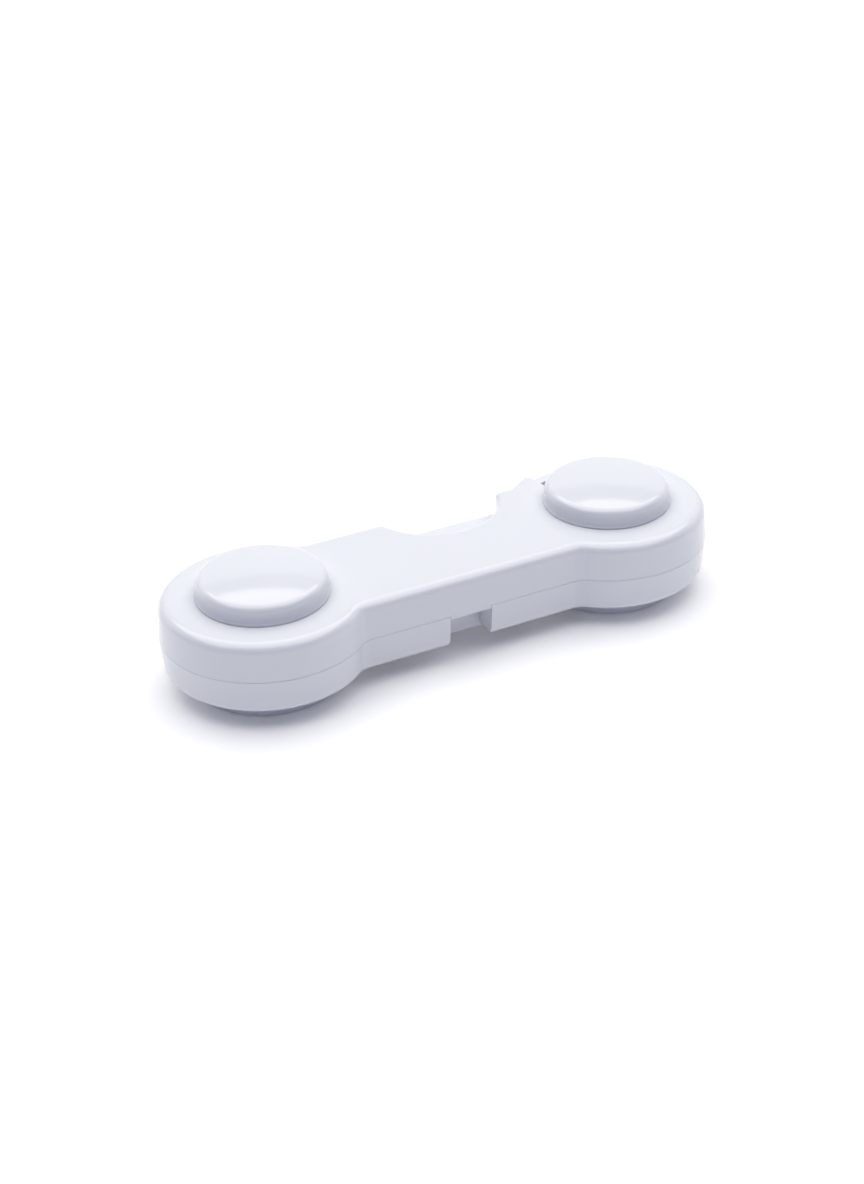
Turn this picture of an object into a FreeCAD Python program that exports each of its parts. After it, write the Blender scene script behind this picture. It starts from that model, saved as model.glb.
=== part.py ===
import FreeCAD, Part
import Sketcher
import math
import os
import re

# Child-safety swing latch: a hollow dog-bone arm in two moulded halves.
# The left end swivels on the pivot spool. The right end has an open mouth that
# hooks over the neck of the catch spool, and a sprung lever closes the mouth.
#
# Frame: millimetres, +Z up, +X along the arm towards the catch, +Y to the side
# that the mouth opens on. The origin is on the mounting surface, midway
# between the spools.

DIMENSIONS = {
    # arm
    "half_pitch": 37.2,
    "lobe_r": 20.0,
    "bar_half": 14.3,
    "blend_r": 3.5,
    "parting_z": 11.0,
    "half_height": 7.2,
    "wall": 2.0,
    "plate": 2.2,
    "draft": 4.5,
    "top_round": 2.0,
    "bottom_round": 2.0,
    "seam": 0.12,
    "rib_x": 19.0,
    "rib_half": 0.6,
    "overlap": 0.5,
    "overcut": 1.0,
    # spools
    "neck_r": 5.5,
    "neck_fit": 0.08,
    "collar_wall": 1.8,
    "core_r": 4.1,
    "boss_r": 2.9,
    "core_top": 15.0,
    "foot_r": 14.4,
    "foot_low": 0.3,
    "foot_seat": 0.95,
    "foot_recess_r": 13.85,
    "foot_high": 3.3,
    "foot_edge": 0.6,
    "pad_r": 13.8,
    "liner_r": 13.85,
    "liner_high": 0.15,
    "washer_r": 9.5,
    "washer_bore": 5.7,
    "washer_high": 3.72,
    "head_gap": 0.07,
    "head_r": 10.0,
    "head_snap_r": 10.5,
    "head_snap_low": 0.5,
    "head_thick": 1.6,
    "head_recess_r": 3.4,
    "head_recess": 0.7,
    "spigot_r": 3.2,
    "spigot_long": 1.5,
    "screw_shank_r": 1.5,
    "screw_head_r": 3.0,
    "screw_head_high": 1.4,
    "screw_long": 12.0,
    "screw_clear": 0.25,
    "screw_fit": 0.03,
    "screw_room": 0.3,
    "drive_reach": 1.5,
    "drive_half": 0.35,
    # domed caps
    "cap_base_r": 12.66,
    "cap_base_high": 0.25,
    "cap_waist_r": 12.4,
    "cap_waist_z": 19.2,
    "cap_side_r": 12.38,
    "cap_edge_r": 1.6,
    "cap_apex_z": 23.1,
    "cap_dome_r": 66.0,
    "cap_bore_r": 10.6,
    "cap_bead_r": 10.15,
    "cap_bead_high": 0.45,
    "cap_ceiling_z": 20.9,
    # mouth
    "mouth_flare": 10.0,
    "mouth_wall": 1.8,
    "mouth_wall_reach": 16.5,
    "mouth_reach": 24.0,
    # thumb scoop
    "scoop_x": 6.6,
    "scoop_y": 16.4,
    "scoop_r": 13.0,
    "scoop_edge": 1.0,
    "scoop_corner": 1.2,
    "scoop_wall": 1.6,
    "scoop_low": 13.4,
    "window_x": 7.6,
    "window_edge": 0.1,
    "window_step": 1.3,
    "window_step_end": 3.0,
    "window_in": 14.2,
    "window_turn": 11.7,
    "window_out": 10.2,
    "window_end": 6.5,
    "window_shelf": 0.7,
    "horn_start": 1.5,
    "horn_end": 9.05,
    "horn_back": 4.0,
    # front notch
    "notch_left": 5.4,
    "notch_right": 3.5,
    "notch_back": 9.0,
    "notch_wall": 1.5,
    "notch_high": 10.3,
    "notch_roof": 12.6,
    "notch_clear": 0.1,
    "notch_edge": 1.1,
    # lever
    "pin_x": 17.0,
    "pin_y": 2.0,
    "pin_r": 1.5,
    "pin_low": 4.8,
    "pin_high": 15.5,
    "pin_fit": 0.02,
    "pin_room": 0.1,
    "lever_fit": 0.08,
    "hub_r": 4.5,
    "hub_low": 8.1,
    "hub_gap": 1.0,
    "pin_boss_r": 4.0,
    "pin_boss_high": 7.5,
    "lever_washer_r": 3.8,
    "lever_low": 6.3,
    "lever_high": 13.2,
    "lever_wall": 1.6,
    "lever_sweep_r": 28.2,
    "lever_front": 0.9,
    "lever_inset": 0.2,
    "lever_step": 0.5,
    "finger_high": 15.85,
    "finger_inner_r": 17.6,
    "finger_start": 11.0,
    "finger_tip": 1.6,
    "finger_edge": 0.3,
    "nose_inner_r": 7.2,
    "nose_left": 3.8,
    "nose_right": 1.0,
    # spring
    "spring_x": 1.0,
    "spring_z": 9.2,
    "spring_r": 2.1,
    "spring_wire_r": 0.3,
    "spring_pitch": 1.6,
    "spring_peg_r": 1.4,
    "spring_peg_long": 1.2,
    "spring_peg_root": 0.3,
    "rest_gap": 0.05,
    # fastening of the shells
    "shell_boss_r": 2.6,
    "shell_pilot_r": 1.0,
    "shell_bore_r": 1.3,
    "shell_sink_r": 2.2,
    "shell_sink_high": 6.6,
    "shell_shank_r": 0.97,
    "shell_head_r": 2.0,
    "shell_head_high": 1.5,
    "shell_screw_high": 15.0,
    "slot_long": 2.4,
    "slot_wide": 0.6,
    "slot_deep": 0.7,
    "screw_left_x": 15.5,
    "screw_left_y": 8.5,
    "screw_mid_x": 10.5,
    "screw_right_x": 24.0,
    "screw_front_y": 8.8,
    "peg_x": 49.4,
    "peg_y": 6.0,
    "peg_r": 1.2,
    "peg_fit": 0.05,
    "peg_long": 2.0,
    "peg_room": 0.2,
}

TOP = "(parting_z + half_height)"
BOTTOM = "(parting_z - half_height)"
CEILING = "(parting_z + half_height - plate)"
FLOOR = "(parting_z - half_height + plate)"
HEAD_Z = "(parting_z + half_height + head_gap)"
SEAT_R = "(neck_r + neck_fit)"
SCREW_SEAT = "(parting_z + half_height + head_gap + head_thick - head_recess)"
NOTCH_INSET = "((parting_z - notch_high) * tan(draft))"
HORN_INSET = "((half_height - plate) * tan(draft))"
PIVOT_X = "pin_x"
PIVOT_Y = "-pin_y"

doc = FreeCAD.newDocument("swing_latch")
sheet = doc.addObject("Spreadsheet::Sheet", "dims")
for row, (alias, number) in enumerate(DIMENSIONS.items(), start=1):
    sheet.set("A%d" % row, alias)
    sheet.set("B%d" % row, str(number))
    sheet.setAlias("B%d" % row, alias)
doc.recompute()


def bind(text):
    """The expression with each dimension's name pointed at the sheet."""
    return re.sub(r"[a-z][a-z_]+", lambda word: "dims." + word[0] if word[0] in DIMENSIONS else word[0], text)


def value(text):
    """What an expression comes to, as a plain number."""
    return float(sheet.evalExpression(bind(text)))


def plane_of(body, role):
    return next(item for item in body.Origin.OriginFeatures if item.Role == role)


def new_body(label, x=None):
    """An empty body, moved along X to its spool where x is given."""
    body = doc.addObject("PartDesign::Body", label)
    body.Label = label
    if x:
        body.setExpression("Placement.Base.x", bind(x))
    return body


def corner(x, y):
    """A corner of an outline; the next edge is straight."""
    return (x, y, None)


def arc(x, y, radius, centre_x, centre_y, turn):
    """A corner of an outline; the next edge is an arc, turn 1 anticlockwise or -1 clockwise."""
    return (x, y, (radius, centre_x, centre_y, turn))


def fix_point(sketch, edge, end, x, y):
    """Hold one end of an edge at x, y, both bound to the sheet."""
    for kind, axis, text in (("DistanceX", -2, x), ("DistanceY", -1, y)):
        number = value(text)
        if abs(number) < 1e-9:
            sketch.addConstraint(Sketcher.Constraint("PointOnObject", edge, end, axis))
        else:
            index = sketch.addConstraint(Sketcher.Constraint(kind, -1, 1, edge, end, number))
            sketch.setExpression("Constraints[%d]" % index, bind(text))


def fix_radius(sketch, edge, radius):
    index = sketch.addConstraint(Sketcher.Constraint("Radius", edge, value(radius)))
    sketch.setExpression("Constraints[%d]" % index, bind(radius))


def draw_circle(sketch, x, y, radius):
    centre = FreeCAD.Vector(value(x), value(y), 0)
    edge = sketch.addGeometry(Part.Circle(centre, FreeCAD.Vector(0, 0, 1), value(radius)), False)
    fix_point(sketch, edge, 3, x, y)
    fix_radius(sketch, edge, radius)


def draw_outline(sketch, corners):
    """A closed outline of straight edges and arcs, each corner and radius bound to the sheet."""
    spots = [FreeCAD.Vector(value(x), value(y), 0) for x, y, bend in corners]
    ends = []
    for index, (x, y, bend) in enumerate(corners):
        start = spots[index]
        finish = spots[(index + 1) % len(spots)]
        if bend is None:
            edge = sketch.addGeometry(Part.LineSegment(start, finish), False)
            ends.append((edge, 1, 2))
        else:
            radius, centre_x, centre_y, turn = bend
            centre = FreeCAD.Vector(value(centre_x), value(centre_y), 0)
            circle = Part.Circle(centre, FreeCAD.Vector(0, 0, 1), value(radius))
            from_angle = math.atan2(start.y - centre.y, start.x - centre.x)
            to_angle = math.atan2(finish.y - centre.y, finish.x - centre.x)
            low, high = (from_angle, to_angle) if turn > 0 else (to_angle, from_angle)
            edge = sketch.addGeometry(Part.ArcOfCircle(circle, low, high), False)
            ends.append((edge, 1, 2) if turn > 0 else (edge, 2, 1))
            fix_radius(sketch, edge, radius)
        fix_point(sketch, edge, ends[-1][1], x, y)
    for index, (edge, first, last) in enumerate(ends):
        follower, start_end, unused = ends[(index + 1) % len(ends)]
        sketch.addConstraint(Sketcher.Constraint("Coincident", edge, last, follower, start_end))


def add_sketch(body, name, role, height, loops):
    """A sketch on one of the body's origin planes; a loop is a list of corners or a circle."""
    sketch = body.newObject("Sketcher::SketchObject", name)
    sketch.AttachmentSupport = [(plane_of(body, role), "")]
    sketch.MapMode = "FlatFace"
    if height:
        sketch.setExpression("AttachmentOffset.Base.z", bind(height))
    for loop in loops:
        if isinstance(loop, tuple):
            draw_circle(sketch, *loop)
        else:
            draw_outline(sketch, loop)
    return sketch


def pad(body, name, low, high, *loops, role="XY_Plane"):
    """Add material between two heights, or between two depths along -Y from XZ_Plane."""
    sketch = add_sketch(body, name + "_sketch", role, low, loops)
    feature = body.newObject("PartDesign::Pad", name)
    feature.Profile = sketch
    feature.setExpression("Length", bind("(%s) - (%s)" % (high, low)))
    doc.recompute()
    return feature


def moulded_block(body, name, upward, loop):
    """Half of the arm, drawn in from the parting plane by the mould's draft."""
    feature = body.newObject("PartDesign::Pad", name)
    feature.Profile = add_sketch(body, name + "_sketch", "XY_Plane", "parting_z", [loop])
    feature.Reversed = not upward
    feature.setExpression("Length", bind("half_height"))
    feature.setExpression("TaperAngle", bind("-draft"))
    doc.recompute()
    return feature


def pocket(body, name, low, high, *loops, role="XY_Plane"):
    """Cut between two heights or depths, as pad does, and stop if the cut took nothing away."""
    before = body.Shape.Volume
    sketch = add_sketch(body, name + "_sketch", role, low, loops)
    feature = body.newObject("PartDesign::Pocket", name)
    feature.Profile = sketch
    feature.Reversed = True
    feature.setExpression("Length", bind("(%s) - (%s)" % (high, low)))
    doc.recompute()
    if body.Shape.Volume > before - 1e-6:
        raise RuntimeError("%s cut nothing" % feature.Name)
    return feature


def dress(body, kind, name, size, test):
    """A fillet or chamfer on the edges that pass the test."""
    base = body.Tip
    names = ["Edge%d" % number for number, edge in enumerate(base.Shape.Edges, start=1) if test(edge)]
    if not names:
        raise RuntimeError("%s found no edge" % name)
    feature = body.newObject("PartDesign::" + kind, name)
    feature.Base = (base, names)
    feature.setExpression("Radius" if kind == "Fillet" else "Size", bind(size))
    doc.recompute()
    return feature


def flat_at(height):
    """A test for edges that lie at one height."""
    level = value(height)
    return lambda edge: all(abs(vertex.Z - level) < 1e-4 for vertex in edge.Vertexes)


def turned(label, x, corners):
    """A body of revolution about the vertical axis of a spool or pin."""
    body = new_body(label, x)
    sketch = add_sketch(body, label + "_profile", "XZ_Plane", None, [corners])
    feature = body.newObject("PartDesign::Revolution", label + "_turn")
    feature.Profile = sketch
    feature.ReferenceAxis = (sketch, ["V_Axis"])
    feature.Angle = 360
    doc.recompute()
    return body


def ring(label, x, inner, outer, low, high):
    corners = [corner(inner, low), corner(outer, low), corner(outer, high), corner(inner, high)]
    return turned(label, x, corners)


def box_loop(left, right, near, far):
    return [corner(left, near), corner(right, near), corner(right, far), corner(left, far)]


# ---- outline of the arm ----

BLEND_X = "(half_pitch - sqrt((lobe_r + blend_r)^2 - (bar_half + blend_r)^2))"
BLEND_Y = "(bar_half + blend_r)"
TANGENT_X = "(half_pitch - (half_pitch - %s) * lobe_r / (lobe_r + blend_r))" % BLEND_X
TANGENT_Y = "(%s * lobe_r / (lobe_r + blend_r))" % BLEND_Y


def arm_outline():
    """Two lobes joined by a bar, with a blend in each of the four inner corners."""
    def blend_start(x_sign, y_sign):
        return "%s%s" % (x_sign, TANGENT_X), "%s%s" % (y_sign, TANGENT_Y)

    right_low = blend_start("", "-")
    right_high = blend_start("", "")
    left_high = blend_start("-", "")
    left_low = blend_start("-", "-")
    return [
        arc(*right_low, "lobe_r", "half_pitch", "0", 1),
        arc(*right_high, "blend_r", BLEND_X, BLEND_Y, -1),
        corner(BLEND_X, "bar_half"),
        arc("-" + BLEND_X, "bar_half", "blend_r", "-" + BLEND_X, BLEND_Y, -1),
        arc(*left_high, "lobe_r", "-half_pitch", "0", 1),
        arc(*left_low, "blend_r", "-" + BLEND_X, "-" + BLEND_Y, -1),
        corner("-" + BLEND_X, "-bar_half"),
        arc(BLEND_X, "-bar_half", "blend_r", BLEND_X, "-" + BLEND_Y, -1),
    ]


def cavity_outline():
    """The hollow inside the walls."""
    inner_r = "(lobe_r - wall)"
    inner_y = "(bar_half - wall)"
    join = "(half_pitch - sqrt(%s^2 - %s^2))" % (inner_r, inner_y)
    return [
        arc(join, "-" + inner_y, inner_r, "half_pitch", "0", 1),
        corner(join, inner_y),
        arc("-" + join, inner_y, inner_r, "-half_pitch", "0", 1),
        corner("-" + join, "-" + inner_y),
    ]


def mouth_outline(extra, reach):
    """A round seat whose sides flare out to the rear; extra widens it all round."""
    radius = "(%s + %s)" % (SEAT_R, extra)
    side = "(%s * cos(mouth_flare))" % radius
    drop = "(%s * sin(mouth_flare))" % radius
    spread = "(%s + (%s + %s) * tan(mouth_flare))" % (side, reach, drop)
    return [
        arc("half_pitch - " + side, "-" + drop, radius, "half_pitch", "0", 1),
        corner("half_pitch + " + side, "-" + drop),
        corner("half_pitch + " + spread, reach),
        corner("half_pitch - " + spread, reach),
    ]


def scoop_outline():
    """The thumb scoop: one large arc, with a small round at each end where it meets the rear face."""
    edge_y = "(bar_half - %s)" % HORN_INSET
    centre_y = "(%s - scoop_corner)" % edge_y
    offset = "sqrt((scoop_r + scoop_corner)^2 - (scoop_y - %s)^2)" % centre_y
    meet_x = "(%s * scoop_r / (scoop_r + scoop_corner))" % offset
    meet_y = "(scoop_y - (scoop_y - %s) * scoop_r / (scoop_r + scoop_corner))" % centre_y
    left = "scoop_x - " + offset
    right = "scoop_x + " + offset
    return [
        arc(left, edge_y, "scoop_corner", left, centre_y, -1),
        arc("scoop_x - " + meet_x, meet_y, "scoop_r", "scoop_x", "scoop_y", 1),
        arc("scoop_x + " + meet_x, meet_y, "scoop_corner", right, centre_y, -1),
        corner(right, edge_y),
        corner(right, "lobe_r"),
        corner(left, "lobe_r"),
    ]


def window_outline():
    """The opening in the rear wall that the lever works through."""
    edge_y = "bar_half - wall - window_edge"
    return [
        corner("-window_x", edge_y),
        corner("pin_x + window_step_end", edge_y),
        *window_right_end(),
        corner("-window_x", "lobe_r + overcut"),
    ]


def window_right_end():
    """Room for the hook finger, between the horn and the mouth."""
    step_y = "bar_half - wall - window_step"
    shelf_y = "bar_half - window_shelf"
    return [
        corner("half_pitch - window_in", step_y),
        corner("half_pitch - window_turn", step_y),
        corner("half_pitch - window_out", shelf_y),
        corner("half_pitch - window_end", shelf_y),
        corner("half_pitch - window_end", "lobe_r + overcut"),
    ]


def screw_spots():
    return [
        ("-screw_left_x", "screw_left_y"),
        ("-screw_left_x", "-screw_left_y"),
        ("screw_mid_x", "-screw_front_y"),
        ("screw_right_x", "-screw_front_y"),
    ]


def peg_spots():
    return [(x, y) for x in ("peg_x", "-peg_x") for y in ("peg_y", "-peg_y")]


def at_each(spots, radius):
    return [(x, y, radius) for x, y in spots]


def notch_walls():
    return box_loop("-notch_left - notch_wall", "notch_right + notch_wall",
                    "wall / 2 - bar_half", "notch_wall - notch_back")


def notch_outline(below, above):
    """The notch seen from the front, with its two lower corners rounded off."""
    left = "-notch_left - notch_edge"
    right = "notch_right + notch_edge"
    round_z = BOTTOM + " + notch_edge"
    return [
        arc(left, BOTTOM, "notch_edge", left, round_z, 1),
        corner("-notch_left", round_z),
        corner("-notch_left", above),
        corner("notch_right", above),
        arc("notch_right", round_z, "notch_edge", right, round_z, 1),
        corner(right, BOTTOM),
        corner(right, below),
        corner(left, below),
    ]


def notch_tab():
    """The lip of the upper half that closes the top of the notch."""
    return box_loop("notch_clear - notch_left", "notch_right - notch_clear",
                    "-(bar_half - %s)" % NOTCH_INSET, "-notch_clear - notch_back")


def rib():
    return box_loop("-rib_x - rib_half", "-rib_x + rib_half", "wall / 2 - bar_half", "bar_half - wall / 2")


def make_upper_shell():
    body = new_body("upper_shell")
    rooted = CEILING + " + overlap"
    past = TOP + " + overcut"
    moulded_block(body, "upper_block", True, arm_outline())
    dress(body, "Fillet", "upper_round", "top_round", flat_at(TOP))
    pocket(body, "upper_cavity", "parting_z", CEILING, cavity_outline())
    pad(body, "upper_collar", "parting_z", rooted, ("-half_pitch", "0", SEAT_R + " + collar_wall"))
    pad(body, "upper_mouth_wall", "parting_z", rooted, mouth_outline("mouth_wall", "mouth_wall_reach"))
    pad(body, "upper_bosses", "parting_z", rooted, *at_each(screw_spots() + peg_spots(), "shell_boss_r"))
    pad(body, "upper_rib", "parting_z", rooted, rib())
    pad(body, "upper_pin_boss", "scoop_low", rooted, (PIVOT_X, PIVOT_Y, "pin_boss_r"))
    pad(body, "upper_notch_roof", "parting_z", "notch_roof", notch_walls())
    pad(body, "upper_notch_tab", "notch_high", "parting_z + overlap", notch_tab())
    pad(body, "upper_scoop_wall", "scoop_low", rooted, scoop_wall_outline())
    pad(body, "upper_pegs", "parting_z - peg_long", "parting_z + overlap", *at_each(peg_spots(), "peg_r"))
    pad(body, "horn", CEILING, TOP, horn_outline())
    pocket(body, "upper_window", "parting_z", "scoop_low", window_outline())
    pocket(body, "horn_window", "scoop_low - window_edge", CEILING, horn_window_outline())
    pocket(body, "scoop", "parting_z", past, scoop_outline())
    dress(body, "Fillet", "scoop_round", "scoop_edge", scoop_rim)
    pocket(body, "upper_bore", "parting_z", past, ("-half_pitch", "0", SEAT_R))
    pocket(body, "upper_mouth", "parting_z", past, mouth_outline("0", "mouth_reach"))
    pocket(body, "upper_pilots", "parting_z", "shell_screw_high + screw_room",
           *at_each(screw_spots(), "shell_pilot_r"))
    pocket(body, "upper_pin_hole", "scoop_low", "pin_high + pin_room", (PIVOT_X, PIVOT_Y, "pin_r + pin_fit"))
    return body


def scoop_rim(edge):
    """A test for the arc where the scoop's wall meets the top face."""
    rim = edge.Curve
    return isinstance(rim, Part.Circle) and flat_at(TOP)(edge) and abs(rim.Radius - value("scoop_r")) < 1e-4


def scoop_wall_outline():
    """The wall round the scoop, filled in; the scoop is cut out of it afterwards."""
    radius = "(scoop_r + scoop_wall)"
    edge_y = "(bar_half - wall / 2)"
    reach = "sqrt(%s^2 - (scoop_y - %s)^2)" % (radius, edge_y)
    return [
        arc("scoop_x - " + reach, edge_y, radius, "scoop_x", "scoop_y", 1),
        corner("scoop_x + " + reach, edge_y),
    ]


def rear_edge(start_x, start_y, inset):
    """The arm's rear edge from a point on the right lobe to the bar, set in from the outline."""
    radius = "(lobe_r - %s)" % inset
    return [
        arc(start_x, start_y, radius, "half_pitch", "0", 1),
        arc("(half_pitch - (half_pitch - %s) * %s / (lobe_r + blend_r))" % (BLEND_X, radius),
            "(%s * %s / (lobe_r + blend_r))" % (BLEND_Y, radius),
            "(blend_r + %s)" % inset, BLEND_X, BLEND_Y, -1),
        corner(BLEND_X, "bar_half - " + inset),
    ]


def horn_outline():
    """The roof between scoop and mouth, with its edge left crisp."""
    end_x = "(half_pitch - horn_end)"
    end_y = "sqrt((lobe_r - %s)^2 - horn_end^2)" % HORN_INSET
    left = "pin_x + horn_start"
    return [
        corner(left, "bar_half - horn_back"),
        corner(end_x, "bar_half - horn_back"),
        *rear_edge(end_x, end_y, HORN_INSET),
        corner(left, "bar_half - " + HORN_INSET),
    ]


def horn_window_outline():
    """Room for the raised hook finger under the horn."""
    left = "scoop_x + scoop_r + scoop_wall"
    return [
        corner(left, "bar_half - wall - window_edge"),
        *window_right_end(),
        corner(left, "lobe_r + overcut"),
    ]


def make_lower_shell():
    body = new_body("lower_shell")
    rooted = FLOOR + " - overlap"
    below = BOTTOM + " - overcut"
    above = "parting_z + overcut"
    spring_wall_y = "notch_back - notch_wall"
    moulded_block(body, "lower_block", False, arm_outline())
    dress(body, "Fillet", "lower_round", "bottom_round", flat_at(BOTTOM))
    dress(body, "Chamfer", "seam_edge", "seam", flat_at("parting_z"))
    pocket(body, "lower_cavity", FLOOR, "parting_z", cavity_outline())
    pad(body, "lower_collar", rooted, "parting_z", ("-half_pitch", "0", SEAT_R + " + collar_wall"))
    pad(body, "lower_mouth_wall", rooted, "parting_z", mouth_outline("mouth_wall", "mouth_wall_reach"))
    pad(body, "lower_bosses", rooted, "parting_z", *at_each(screw_spots() + peg_spots(), "shell_boss_r"))
    pad(body, "lower_rib", rooted, "parting_z", rib())
    pad(body, "lower_pin_boss", rooted, "pin_boss_high", (PIVOT_X, PIVOT_Y, "pin_boss_r"))
    pad(body, "lower_notch_walls", rooted, "parting_z", notch_walls())
    pad(body, "shell_spring_peg", spring_wall_y + " - spring_peg_long", spring_wall_y + " + spring_peg_root",
        ("-spring_x", "spring_z", "spring_peg_r"), role="XZ_Plane")
    pocket(body, "notch", "notch_back", "lobe_r", notch_outline(below, above), role="XZ_Plane")
    pocket(body, "lower_window", FLOOR, above, window_outline())
    pocket(body, "lower_bore", below, above, ("-half_pitch", "0", SEAT_R))
    pocket(body, "lower_mouth", below, above, mouth_outline("0", "mouth_reach"))
    pocket(body, "screw_bores", below, above, *at_each(screw_spots(), "shell_bore_r"))
    pocket(body, "screw_sinks", below, "shell_sink_high", *at_each(screw_spots(), "shell_sink_r"))
    pocket(body, "peg_holes", "parting_z - peg_long - peg_room", above,
           *at_each(peg_spots(), "peg_r + peg_fit"))
    pocket(body, "lower_pin_hole", "pin_low - pin_room", "pin_boss_high + overcut",
           (PIVOT_X, PIVOT_Y, "pin_r + pin_fit"))
    return body


# ---- lever ----

def sweep_x(y, inset):
    """Where the lever's left end, an arc about the pin, stands at a height y."""
    return "(pin_x - sqrt((lever_sweep_r - %s)^2 - (%s + pin_y)^2))" % (inset, y)


FINGER_TIP_Y = "sqrt((lobe_r - lever_inset)^2 - finger_tip^2)"


def nose_corners():
    """The hook's nose, which closes the mouth behind the neck."""
    nose_x = "half_pitch - nose_left"
    return [
        corner(nose_x, "sqrt(finger_inner_r^2 - nose_left^2)"),
        arc(nose_x, "sqrt(nose_inner_r^2 - nose_left^2)", "nose_inner_r", "half_pitch", "0", -1),
        corner("half_pitch - nose_right", "sqrt(nose_inner_r^2 - nose_right^2)"),
    ]


def lever_outline():
    """Thumb pad, hub and hook finger in one piece, seen from above."""
    finger_x = "(half_pitch - finger_start - lever_step)"
    finger_y = "sqrt(finger_inner_r^2 - (finger_start + lever_step)^2)"
    rear_y = "(bar_half - lever_inset)"
    return [
        corner(sweep_x("lever_front", "0"), "lever_front"),
        arc("pin_x - sqrt(hub_r^2 - (lever_front + pin_y)^2)", "lever_front", "hub_r", PIVOT_X, PIVOT_Y, 1),
        corner("pin_x + hub_r", PIVOT_Y),
        arc(finger_x, finger_y, "finger_inner_r", "half_pitch", "0", -1),
        *nose_corners(),
        *rear_edge("half_pitch + finger_tip", FINGER_TIP_Y, "lever_inset"),
        arc(sweep_x(rear_y, "0"), rear_y, "lever_sweep_r", PIVOT_X, PIVOT_Y, 1),
    ]


def finger_outline():
    """The raised end of the hook finger, up to just under the horn."""
    inner_y = "sqrt(finger_inner_r^2 - finger_start^2)"
    outer_y = "sqrt((lobe_r - lever_inset)^2 - finger_start^2)"
    return [
        arc("half_pitch - finger_start", inner_y, "finger_inner_r", "half_pitch", "0", -1),
        *nose_corners(),
        arc("half_pitch + finger_tip", FINGER_TIP_Y, "(lobe_r - lever_inset)", "half_pitch", "0", 1),
        corner("half_pitch - finger_start", outer_y),
    ]


def thumb_hollow():
    """The moulded hollow under the thumb pad."""
    front = "(lever_front + lever_wall)"
    rear = "(bar_half - lever_wall)"
    right = "(pin_x - hub_r - hub_gap)"
    return [
        corner(sweep_x(front, "lever_wall"), front),
        corner(right, front),
        corner(right, rear),
        arc(sweep_x(rear, "lever_wall"), rear, "lever_sweep_r - lever_wall", PIVOT_X, PIVOT_Y, 1),
    ]


def make_release_lever():
    body = new_body("release_lever")
    pad(body, "lever_block", "lever_low", "lever_high", lever_outline())
    pad(body, "finger", "lever_high - overlap", "finger_high", finger_outline())
    dress(body, "Fillet", "finger_round", "finger_edge", flat_at("finger_high"))
    pocket(body, "thumb_hollow", "lever_low", "lever_high - lever_wall", thumb_hollow())
    pocket(body, "hub_recess", "lever_low", "hub_low", (PIVOT_X, PIVOT_Y, "pin_boss_r + hub_gap"))
    pocket(body, "hub_bore", "lever_low", "lever_high + overcut", (PIVOT_X, PIVOT_Y, "pin_r + lever_fit"))
    pad(body, "lever_spring_peg", "-spring_peg_root - lever_front", "spring_peg_long - lever_front",
        ("-spring_x", "spring_z", "spring_peg_r"), role="XZ_Plane")
    return body


def make_lever_spring():
    """A compression coil between the notch's back wall and the lever."""
    low = value("notch_wall - notch_back + spring_wire_r + rest_gap")
    high = value("lever_front - spring_wire_r - rest_gap")
    radius = value("spring_r")
    coil = Part.makeHelix(value("spring_pitch"), high - low, radius)
    section = Part.Circle(FreeCAD.Vector(radius, 0, 0), FreeCAD.Vector(0, 1, 0), value("spring_wire_r"))
    wire = Part.Wire([section.toShape()])
    spring = doc.addObject("Part::Feature", "lever_spring")
    spring.Label = "lever_spring"
    spring.Shape = Part.Wire(coil.Edges).makePipeShell([wire], True, True)
    spring.Placement = FreeCAD.Placement(
        FreeCAD.Vector(value("-spring_x"), low, value("spring_z")),
        FreeCAD.Rotation(FreeCAD.Vector(1, 0, 0), -90))
    return spring


# ---- spools ----

def make_foot(side, x):
    """Foot disc and neck in one moulding, cored out from below, with a rim round the pad."""
    round_z = "foot_high - foot_edge"
    socket_r = "spigot_r + peg_fit"
    socket_z = HEAD_Z + " - spigot_long - pin_room"
    pilot_r = "screw_shank_r + screw_fit"
    pilot_z = SCREW_SEAT + " - screw_long - screw_room"
    return turned(side + "_foot", x, [
        corner("0", "foot_seat"),
        corner("boss_r", "foot_seat"),
        corner("boss_r", "core_top"),
        corner("core_r", "core_top"),
        corner("core_r", "foot_seat"),
        corner("foot_recess_r", "foot_seat"),
        corner("foot_recess_r", "foot_low"),
        corner("foot_r", "foot_low"),
        arc("foot_r", round_z, "foot_edge", "foot_r - foot_edge", round_z, 1),
        corner("foot_r - foot_edge", "foot_high"),
        corner("neck_r", "foot_high"),
        corner("neck_r", HEAD_Z),
        corner(socket_r, HEAD_Z),
        corner(socket_r, socket_z),
        corner(pilot_r, socket_z),
        corner(pilot_r, pilot_z),
        corner("0", pilot_z),
    ])


def make_head(side, x):
    """The flange that keeps the arm on the neck; its rim is the cap's snap."""
    bore_r = "screw_shank_r + screw_clear"
    top = HEAD_Z + " + head_thick"
    snap_z = HEAD_Z + " + head_snap_low"
    spigot_z = HEAD_Z + " - spigot_long"
    return turned(side + "_head", x, [
        corner(bore_r, spigot_z),
        corner("spigot_r", spigot_z),
        corner("spigot_r", HEAD_Z),
        corner("head_r", HEAD_Z),
        corner("head_r", snap_z),
        corner("head_snap_r", snap_z),
        corner("head_snap_r", top),
        corner("head_recess_r", top),
        corner("head_recess_r", SCREW_SEAT),
        corner(bore_r, SCREW_SEAT),
    ])


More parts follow.
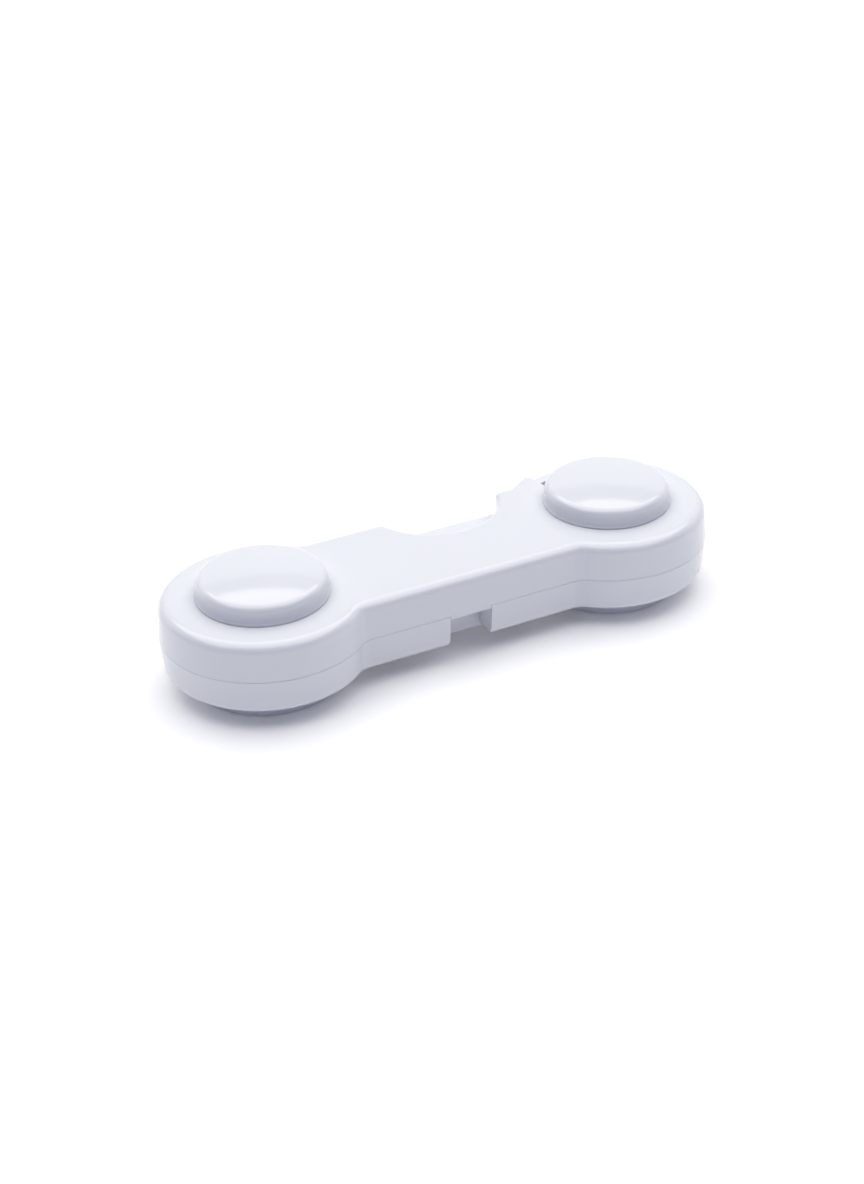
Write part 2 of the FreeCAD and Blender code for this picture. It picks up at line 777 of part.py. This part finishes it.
def cross_outline(reach, half):
    """A cross recess, as on a Phillips screw."""
    signs = [(1, -1), (1, 1), (-1, 1), (-1, -1)]
    corners = []
    for x_sign, y_sign in signs:
        wide = ("%s" if x_sign > 0 else "-%s") % reach, ("%s" if y_sign > 0 else "-%s") % half
        inner = ("%s" if x_sign > 0 else "-%s") % half, ("%s" if y_sign > 0 else "-%s") % half
        tall = ("%s" if x_sign > 0 else "-%s") % half, ("%s" if y_sign > 0 else "-%s") % reach
        trio = [wide, inner, tall]
        corners += trio if x_sign * y_sign > 0 else trio[::-1]
    return [corner(x, y) for x, y in corners]


def make_spool_screw(side, x):
    tip_z = SCREW_SEAT + " - screw_long"
    body = turned(side + "_screw", x, [
        corner("0", tip_z),
        corner("screw_shank_r / 3", tip_z),
        corner("screw_shank_r", tip_z + " + screw_shank_r"),
        corner("screw_shank_r", SCREW_SEAT),
        corner("screw_head_r", SCREW_SEAT),
        corner("screw_head_r", SCREW_SEAT + " + screw_head_high / 2"),
        corner("screw_head_r * 0.7", SCREW_SEAT + " + screw_head_high"),
        corner("0", SCREW_SEAT + " + screw_head_high"),
    ])
    pocket(body, side + "_drive", SCREW_SEAT + " + screw_head_high / 3", SCREW_SEAT + " + screw_head_high + overcut",
           cross_outline("drive_reach", "drive_half"))
    return body


def make_cap(side, x):
    """A domed snap cap with a flared base and a soft top edge."""
    base_top = HEAD_Z + " + cap_base_high"
    rise = "(cap_waist_z - %s - cap_base_high)" % HEAD_Z
    spread = "(cap_base_r - cap_waist_r)"
    flare_r = "((%s^2 + %s^2) / (2 * %s))" % (rise, spread, spread)
    inset = "(cap_side_r - cap_edge_r)"
    dome_z = "(cap_apex_z - cap_dome_r)"
    rise_in = "sqrt((cap_dome_r - cap_edge_r)^2 - %s^2)" % inset
    scale = "cap_dome_r / (cap_dome_r - cap_edge_r)"
    edge_z = "(%s + %s)" % (dome_z, rise_in)
    bead_z = HEAD_Z + " + cap_bead_high"
    return turned(side + "_cap", x, [
        corner("cap_bead_r", HEAD_Z),
        corner("cap_base_r", HEAD_Z),
        arc("cap_base_r", base_top, flare_r, "cap_waist_r + " + flare_r, "cap_waist_z", -1),
        corner("cap_waist_r", "cap_waist_z"),
        arc("cap_side_r", edge_z, "cap_edge_r", inset, edge_z, 1),
        arc("%s * %s" % (inset, scale), "%s + %s * %s" % (dome_z, rise_in, scale),
            "cap_dome_r", "0", dome_z, 1),
        corner("0", "cap_apex_z"),
        corner("0", "cap_ceiling_z"),
        corner("cap_bore_r", "cap_ceiling_z"),
        corner("cap_bore_r", bead_z),
        corner("cap_bead_r", bead_z),
    ])


def make_spool(side, x):
    return [
        make_foot(side, x),
        make_head(side, x),
        make_spool_screw(side, x),
        make_cap(side, x),
        ring(side + "_washer", x, "washer_bore", "washer_r", "foot_high", "washer_high"),
        disc(side + "_pad", x, "pad_r", "liner_high", "foot_seat"),
        disc(side + "_liner", x, "liner_r", "0", "liner_high"),
    ]


def disc(label, x, radius, low, high):
    return turned(label, x, [corner("0", low), corner(radius, low), corner(radius, high), corner("0", high)])


# ---- small hardware of the arm ----

def make_lever_pin():
    chamfer = "pin_r / 5"
    body = turned("lever_pin", PIVOT_X, [
        corner("0", "pin_low"),
        corner("pin_r - " + chamfer, "pin_low"),
        corner("pin_r", "pin_low + " + chamfer),
        corner("pin_r", "pin_high - " + chamfer),
        corner("pin_r - " + chamfer, "pin_high"),
        corner("0", "pin_high"),
    ])
    body.setExpression("Placement.Base.y", bind(PIVOT_Y))
    return body


def make_lever_washer():
    body = ring("lever_washer", PIVOT_X, "pin_r + lever_fit", "lever_washer_r",
                "pin_boss_high + rest_gap", "hub_low - rest_gap")
    body.setExpression("Placement.Base.y", bind(PIVOT_Y))
    return body


def primitive(kind, name, sizes, x, y, z):
    """A Part primitive with its sizes and place bound to the sheet."""
    item = doc.addObject("Part::" + kind, name)
    places = {"Placement.Base.x": x, "Placement.Base.y": y, "Placement.Base.z": z}
    for prop, text in {**sizes, **places}.items():
        item.setExpression(prop, bind(text))
    return item


def make_shell_screw(number, x, y):
    """One small screw, driven from below, with a cross recess in its head."""
    name = "shell_screw_%d" % number
    head_z = "shell_sink_high - shell_head_high"
    shank = primitive("Cylinder", name + "_shank",
                      {"Radius": "shell_shank_r", "Height": "shell_screw_high - shell_sink_high"},
                      x, y, "shell_sink_high")
    head = primitive("Cylinder", name + "_head",
                     {"Radius": "shell_head_r", "Height": "shell_head_high"}, x, y, head_z)
    slots = []
    for way, length, width in (("x", "slot_long", "slot_wide"), ("y", "slot_wide", "slot_long")):
        slots.append(primitive("Box", name + "_slot_" + way,
                               {"Length": length, "Width": width, "Height": "slot_deep + overcut"},
                               "%s - %s / 2" % (x, length), "%s - %s / 2" % (y, width), head_z + " - overcut"))
    whole = doc.addObject("Part::MultiFuse", name + "_whole")
    whole.Shapes = [shank, head]
    drive = doc.addObject("Part::MultiFuse", name + "_drive")
    drive.Shapes = slots
    screw = doc.addObject("Part::Cut", name)
    screw.Base = whole
    screw.Tool = drive
    return screw


def make_shell_screws():
    group = doc.addObject("Part::Compound", "shell_screws")
    group.Label = "shell_screws"
    group.Links = [make_shell_screw(number, x, y) for number, (x, y) in enumerate(screw_spots(), start=1)]
    return group


def check_document():
    for item in doc.Objects:
        if "Invalid" in item.State or "Error" in item.State:
            raise RuntimeError("%s failed: %s" % (item.Name, item.State))


def write_parts(parts):
    for part in parts:
        if part.Shape.isNull() or not part.Shape.isValid():
            raise RuntimeError("%s has no valid shape" % part.Label)
    os.makedirs("parts", exist_ok=True)
    for part in parts:
        part.Shape.exportStep("parts/%s.step" % part.Label)


def main():
    parts = [make_upper_shell(), make_lower_shell(), make_release_lever()]
    parts += [make_lever_pin(), make_lever_washer(), make_lever_spring(), make_shell_screws()]
    parts += make_spool("pivot", "-half_pitch")
    parts += make_spool("catch", "half_pitch")
    doc.recompute()
    check_document()
    write_parts(parts)
    for part in parts:
        box = part.Shape.BoundBox
        print("%-14s %7.1f mm3  z %.2f to %.2f" % (part.Label, part.Shape.Volume, box.ZMin, box.ZMax))
    return parts


main()
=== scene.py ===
import math

import bpy
from mathutils import Matrix, Vector


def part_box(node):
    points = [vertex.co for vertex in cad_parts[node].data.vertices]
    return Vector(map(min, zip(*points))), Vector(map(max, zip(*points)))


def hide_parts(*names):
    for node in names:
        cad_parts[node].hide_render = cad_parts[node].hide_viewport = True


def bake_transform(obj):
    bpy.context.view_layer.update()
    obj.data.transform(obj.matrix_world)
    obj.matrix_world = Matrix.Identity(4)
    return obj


# Looks of the swing latch: white moulded plastic on a white table, under one large
# overhead softbox. All lengths are metres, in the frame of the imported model.

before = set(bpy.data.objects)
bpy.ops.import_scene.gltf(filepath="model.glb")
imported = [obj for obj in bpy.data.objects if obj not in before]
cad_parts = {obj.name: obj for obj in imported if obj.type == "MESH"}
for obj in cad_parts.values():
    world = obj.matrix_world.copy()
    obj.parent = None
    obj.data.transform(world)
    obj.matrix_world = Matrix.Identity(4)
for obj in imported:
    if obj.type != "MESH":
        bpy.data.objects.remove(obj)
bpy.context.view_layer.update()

PARTING_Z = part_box("lower_shell")[1].z

# ---- camera ----

CAMERA_AZIMUTH = math.radians(-26.2)
CAMERA_ELEVATION = math.radians(30.25)
CAMERA_ROLL = math.radians(-1.70)
CAMERA_DISTANCE = 0.400
CAMERA_LENS = 63.35
CAMERA_TARGET = Vector((-0.00428, -0.00435, PARTING_Z))
SENSOR_WIDTH = 36.0


def add_camera():
    back = Vector((
        math.sin(CAMERA_AZIMUTH) * math.cos(CAMERA_ELEVATION),
        -math.cos(CAMERA_AZIMUTH) * math.cos(CAMERA_ELEVATION),
        math.sin(CAMERA_ELEVATION),
    ))
    data = bpy.data.cameras.new("camera")
    data.lens = CAMERA_LENS
    data.sensor_width = SENSOR_WIDTH
    data.clip_start = 0.01
    data.clip_end = 20.0
    camera = bpy.data.objects.new("camera", data)
    turn = back.to_track_quat("Z", "Y").to_matrix().to_4x4() @ Matrix.Rotation(CAMERA_ROLL, 4, "Z")
    camera.matrix_world = Matrix.Translation(CAMERA_TARGET + back * CAMERA_DISTANCE) @ turn
    bpy.context.scene.collection.objects.link(camera)
    bpy.context.scene.camera = camera


# ---- materials ----

SPECK_COLOUR = (0.30, 0.29, 0.28)
SPECK_SPACING = 0.009
SPECK_SIZE = 0.00013
SPECK_CUTOFF = 0.8
PLASTIC_IOR = 1.53
PLASTIC_DEPTH = 0.0012


class Nodes:
    """A material's node tree, with short ways to add and join nodes."""

    def __init__(self, name):
        self.material = bpy.data.materials.new(name)
        self.material.use_nodes = True
        self.tree = self.material.node_tree
        self.tree.nodes.clear()
        self.output = self.add("ShaderNodeOutputMaterial")
        self.shader = self.add("ShaderNodeBsdfPrincipled")
        self.join(self.shader, "BSDF", self.output, "Surface")
        self.place = self.add("ShaderNodeTexCoord")

    def add(self, kind, **settings):
        node = self.tree.nodes.new(kind)
        for key, setting in settings.items():
            setattr(node, key, setting)
        return node

    def join(self, source, out, target, socket):
        self.tree.links.new(source.outputs[out], target.inputs[socket])

    def noise(self, scale, detail=2.0, roughness=0.5):
        node = self.add("ShaderNodeTexNoise")
        node.inputs["Scale"].default_value = scale
        node.inputs["Detail"].default_value = detail
        node.inputs["Roughness"].default_value = roughness
        self.join(self.place, "Object", node, "Vector")
        return node

    def spread(self, source, out, low, high, into_low=0.0, into_high=1.0):
        node = self.add("ShaderNodeMapRange")
        node.inputs["From Min"].default_value = low
        node.inputs["From Max"].default_value = high
        node.inputs["To Min"].default_value = into_low
        node.inputs["To Max"].default_value = into_high
        self.join(source, out, node, "Value")
        return node

    def mix(self, factor, out, colour_a, colour_b):
        node = self.add("ShaderNodeMix", data_type="RGBA")
        node.inputs["A"].default_value = (*colour_a, 1.0)
        node.inputs["B"].default_value = (*colour_b, 1.0)
        self.join(factor, out, node, "Factor")
        return node

    def bump(self, source, out, strength, depth, base=None):
        node = self.add("ShaderNodeBump")
        node.inputs["Strength"].default_value = strength
        node.inputs["Distance"].default_value = depth
        self.join(source, out, node, "Height")
        if base:
            self.join(base, "Normal", node, "Normal")
        return node

    def maths(self, operation, first, out, second):
        node = self.add("ShaderNodeMath", operation=operation)
        self.join(first, out, node, 0)
        if isinstance(second, float):
            node.inputs[1].default_value = second
        else:
            self.join(second, "Value", node, 1)
        return node

    def specks(self, base, spacing, size):
        """Sparse dark specks over a base colour, in the few cells whose random colour is bright."""
        cells = self.add("ShaderNodeTexVoronoi")
        cells.inputs["Scale"].default_value = 1.0 / spacing
        self.join(self.place, "Object", cells, "Vector")
        near = self.maths("LESS_THAN", cells, "Distance", size / spacing)
        chosen = self.maths("GREATER_THAN", cells, "Color", SPECK_CUTOFF)
        speck = self.maths("MULTIPLY", near, "Value", chosen)
        node = self.add("ShaderNodeMix", data_type="RGBA")
        node.inputs["B"].default_value = (*SPECK_COLOUR, 1.0)
        self.join(base, "Result", node, "A")
        self.join(speck, "Value", node, "Factor")
        return node


def moulded_plastic(name, colour, roughness, grain=0.03, gloss_spread=0.02):
    """Injection-moulded plastic: faint tone drift, uneven gloss, slight sink waves and a few specks."""
    nodes = Nodes(name)
    shader = nodes.shader
    drift = nodes.noise(scale=38.0, detail=2.0)
    tone = nodes.spread(drift, "Fac", low=0.25, high=0.75)
    base = nodes.mix(tone, "Result", [channel * 0.985 for channel in colour], colour)
    nodes.join(nodes.specks(base, SPECK_SPACING, SPECK_SIZE), "Result", shader, "Base Color")
    gloss = nodes.noise(scale=110.0, detail=2.0)
    rough = nodes.spread(gloss, "Fac", low=0.25, high=0.75,
                         into_low=roughness - gloss_spread, into_high=roughness + gloss_spread)
    nodes.join(rough, "Result", shader, "Roughness")
    waves = nodes.noise(scale=70.0, detail=1.0)
    wavy = nodes.bump(waves, "Fac", strength=0.05, depth=0.0004)
    fine = nodes.noise(scale=1800.0, detail=2.0)
    grained = nodes.bump(fine, "Fac", strength=grain, depth=0.00003, base=wavy)
    nodes.join(grained, "Normal", shader, "Normal")
    shader.inputs["IOR"].default_value = PLASTIC_IOR
    shader.inputs["Subsurface Weight"].default_value = 0.15
    shader.inputs["Subsurface Radius"].default_value = (1.0, 0.9, 0.8)
    shader.inputs["Subsurface Scale"].default_value = PLASTIC_DEPTH
    return nodes.material


def steel(name, colour, roughness, brush):
    """Metal with fine marks drawn out along one direction."""
    nodes = Nodes(name)
    shader = nodes.shader
    stretch = nodes.add("ShaderNodeMapping")
    stretch.inputs["Scale"].default_value = brush
    nodes.join(nodes.place, "Object", stretch, "Vector")
    marks = nodes.noise(scale=900.0, detail=4.0)
    nodes.join(stretch, "Vector", marks, "Vector")
    tone = nodes.mix(marks, "Fac", [channel * 0.86 for channel in colour], colour)
    nodes.join(tone, "Result", shader, "Base Color")
    rough = nodes.spread(marks, "Fac", low=0.3, high=0.7,
                         into_low=roughness * 0.8, into_high=roughness * 1.25)
    nodes.join(rough, "Result", shader, "Roughness")
    shader.inputs["Metallic"].default_value = 1.0
    scratched = nodes.bump(marks, "Fac", strength=0.15, depth=0.00003)
    nodes.join(scratched, "Normal", shader, "Normal")
    return nodes.material


def foam(name, colour):
    """Closed-cell acrylic foam."""
    nodes = Nodes(name)
    cells = nodes.add("ShaderNodeTexVoronoi")
    cells.inputs["Scale"].default_value = 2600.0
    nodes.join(nodes.place, "Object", cells, "Vector")
    tone = nodes.mix(cells, "Distance", [channel * 0.8 for channel in colour], colour)
    nodes.join(tone, "Result", nodes.shader, "Base Color")
    pitted = nodes.bump(cells, "Distance", strength=0.5, depth=0.00008)
    nodes.join(pitted, "Normal", nodes.shader, "Normal")
    nodes.shader.inputs["Roughness"].default_value = 0.85
    return nodes.material


def film(name, colour):
    """Release film, with faint creases."""
    nodes = Nodes(name)
    crease = nodes.noise(scale=120.0, detail=6.0, roughness=0.7)
    tone = nodes.mix(crease, "Fac", [channel * 0.93 for channel in colour], colour)
    nodes.join(tone, "Result", nodes.shader, "Base Color")
    creased = nodes.bump(crease, "Fac", strength=0.3, depth=0.0001)
    nodes.join(creased, "Normal", nodes.shader, "Normal")
    nodes.shader.inputs["Roughness"].default_value = 0.32
    return nodes.material


WHITE = (0.70, 0.713, 0.750)


def paint_nodes():
    shell = moulded_plastic("shell_plastic", WHITE, roughness=0.14)
    cap = moulded_plastic("cap_plastic", WHITE, roughness=0.10, grain=0.01, gloss_spread=0.015)
    foot = moulded_plastic("foot_plastic", WHITE, roughness=0.34, grain=0.06)
    inner = moulded_plastic("inner_plastic", (0.78, 0.78, 0.80), roughness=0.40, grain=0.08)
    ring = moulded_plastic("slide_plastic", (0.70, 0.70, 0.67), roughness=0.30)
    screw = steel("screw_metal", (0.62, 0.62, 0.63), roughness=0.32, brush=(1.0, 1.0, 0.2))
    pin = steel("pin_metal", (0.66, 0.66, 0.67), roughness=0.22, brush=(1.0, 1.0, 12.0))
    wire = steel("spring_metal", (0.42, 0.42, 0.43), roughness=0.3, brush=(1.0, 6.0, 1.0))
    by_node = {
        "upper_shell": shell, "lower_shell": shell, "release_lever": shell,
        "lever_pin": pin, "lever_washer": ring, "lever_spring": wire, "shell_screws": screw,
    }
    for side in ("pivot", "catch"):
        by_node.update({
            side + "_cap": cap, side + "_foot": foot, side + "_head": inner,
            side + "_screw": screw, side + "_washer": ring,
            side + "_pad": foam(side + "_foam", (0.60, 0.60, 0.63)),
            side + "_liner": film(side + "_film", (0.70, 0.74, 0.80)),
        })
    for name, material in by_node.items():
        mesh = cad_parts[name].data
        mesh.materials.clear()
        mesh.materials.append(material)


def add_coil():
    """The spring's visible coil: a fixed copy of the spring part's mesh, shown in place of the hidden
    part.
    """
    coil = bpy.data.objects.new("spring_coil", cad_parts["lever_spring"].data.copy())
    bpy.context.scene.collection.objects.link(coil)
    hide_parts("lever_spring")
    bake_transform(coil)


# ---- studio ----

def studio_spot(aside, behind, height):
    """A place given as seen from the camera: to its right, beyond the object, and up."""
    return Vector((
        aside * math.cos(CAMERA_AZIMUTH) - behind * math.sin(CAMERA_AZIMUTH),
        aside * math.sin(CAMERA_AZIMUTH) + behind * math.cos(CAMERA_AZIMUTH),
        height,
    ))


# The elevations are those of the softbox's edges, seen from the object.
SOFTBOX_HEIGHT = 1.2
BACK_EDGE_ELEVATION = math.radians(42.5)
FRONT_EDGE_ELEVATION = math.radians(60.0)
SOFTBOX_BACK = SOFTBOX_HEIGHT / math.tan(BACK_EDGE_ELEVATION)
SOFTBOX_FRONT = -SOFTBOX_HEIGHT / math.tan(FRONT_EDGE_ELEVATION)
SOFTBOX_WIDE = 2.2
SOFTBOX_RADIANCE = 2.33
SOFTBOX_COLOUR = (1.0, 0.985, 0.935)


def add_softbox():
    """One large panel overhead, which reaches well behind the object and stops short of the camera."""
    deep = SOFTBOX_BACK - SOFTBOX_FRONT
    data = bpy.data.lights.new("softbox", "AREA")
    data.shape = "RECTANGLE"
    data.size = SOFTBOX_WIDE
    data.size_y = deep
    data.energy = SOFTBOX_RADIANCE * math.pi * SOFTBOX_WIDE * deep
    data.color = SOFTBOX_COLOUR
    light = bpy.data.objects.new("softbox", data)
    light.location = studio_spot(0.0, (SOFTBOX_BACK + SOFTBOX_FRONT) / 2, SOFTBOX_HEIGHT)
    light.rotation_euler = (0.0, 0.0, CAMERA_AZIMUTH)
    bpy.context.scene.collection.objects.link(light)


FLOOR_HALF = 3.0
FLOOR_DARK = (0.92, 0.92, 0.92)
FLOOR_LIGHT = (0.94, 0.94, 0.94)
FLOOR_GLOW = 0.075
FLOOR_GAP = 0.00003


def add_floor():
    """A white acrylic table, lit a little from below, just clear of the object's underside."""
    signs = [(-1, -1), (1, -1), (1, 1), (-1, 1)]
    corners = [(x * FLOOR_HALF, y * FLOOR_HALF, 0) for x, y in signs]
    mesh = bpy.data.meshes.new("floor")
    mesh.from_pydata(corners, [], [(0, 1, 2, 3)])
    floor = bpy.data.objects.new("floor", mesh)
    floor.location.z = -FLOOR_GAP
    nodes = Nodes("floor_acrylic")
    cloud = nodes.noise(scale=400.0, detail=5.0)
    tone = nodes.mix(cloud, "Fac", FLOOR_DARK, FLOOR_LIGHT)
    nodes.join(tone, "Result", nodes.shader, "Base Color")
    nodes.shader.inputs["Emission Color"].default_value = (1.0, 1.0, 1.0, 1.0)
    nodes.shader.inputs["Emission Strength"].default_value = FLOOR_GLOW
    nodes.shader.inputs["Roughness"].default_value = 0.9
    nodes.shader.inputs["Specular IOR Level"].default_value = 0.1
    mesh.materials.append(nodes.material)
    bpy.context.scene.collection.objects.link(floor)


ROOM_FRONT = (0.04, 0.055, 0.17)
ROOM_BAND = (0.16, 0.17, 0.22)
ROOM_LOW = (0.75, 0.76, 0.80)
BEHIND_START = 0.0
BEHIND_END = 0.5
WALL_TOP = math.sin(math.radians(34.0))
WALL_FADE = math.sin(math.radians(31.0))


def add_room():
    """A dim room towards the camera, a bright wall low behind the object and a dimmer band above it."""
    world = bpy.data.worlds.new("room")
    world.use_nodes = True
    tree = world.node_tree
    place = tree.nodes.new("ShaderNodeTexCoord")
    split = tree.nodes.new("ShaderNodeSeparateXYZ")
    turn = tree.nodes.new("ShaderNodeVectorRotate")
    turn.rotation_type = "Z_AXIS"
    turn.inputs["Angle"].default_value = -CAMERA_AZIMUTH
    tree.links.new(place.outputs["Generated"], turn.inputs["Vector"])
    tree.links.new(turn.outputs["Vector"], split.inputs["Vector"])
    behind = soft_step(tree, split.outputs["Y"], BEHIND_START, BEHIND_END)
    low = soft_step(tree, split.outputs["Z"], WALL_TOP, WALL_FADE)
    wall = blend_colours(tree, low, ROOM_BAND, ROOM_LOW)
    room = blend_colours(tree, behind, ROOM_FRONT, wall)
    tree.links.new(room, tree.nodes["Background"].inputs["Color"])
    bpy.context.scene.world = world


def soft_step(tree, source, start, end):
    node = tree.nodes.new("ShaderNodeMapRange")
    node.interpolation_type = "SMOOTHSTEP"
    node.inputs["From Min"].default_value = start
    node.inputs["From Max"].default_value = end
    tree.links.new(source, node.inputs["Value"])
    return node.outputs["Result"]


def blend_colours(tree, factor, first, second):
    """Mix two colours; the second may be a socket."""
    node = tree.nodes.new("ShaderNodeMix")
    node.data_type = "RGBA"
    tree.links.new(factor, node.inputs["Factor"])
    node.inputs["A"].default_value = (*first, 1.0)
    if isinstance(second, tuple):
        node.inputs["B"].default_value = (*second, 1.0)
    else:
        tree.links.new(second, node.inputs["B"])
    return node.outputs["Result"]


def add_studio():
    add_room()
    add_softbox()
    add_floor()
    bpy.context.scene.view_settings.view_transform = "Standard"


paint_nodes()
add_coil()
add_studio()
add_camera()
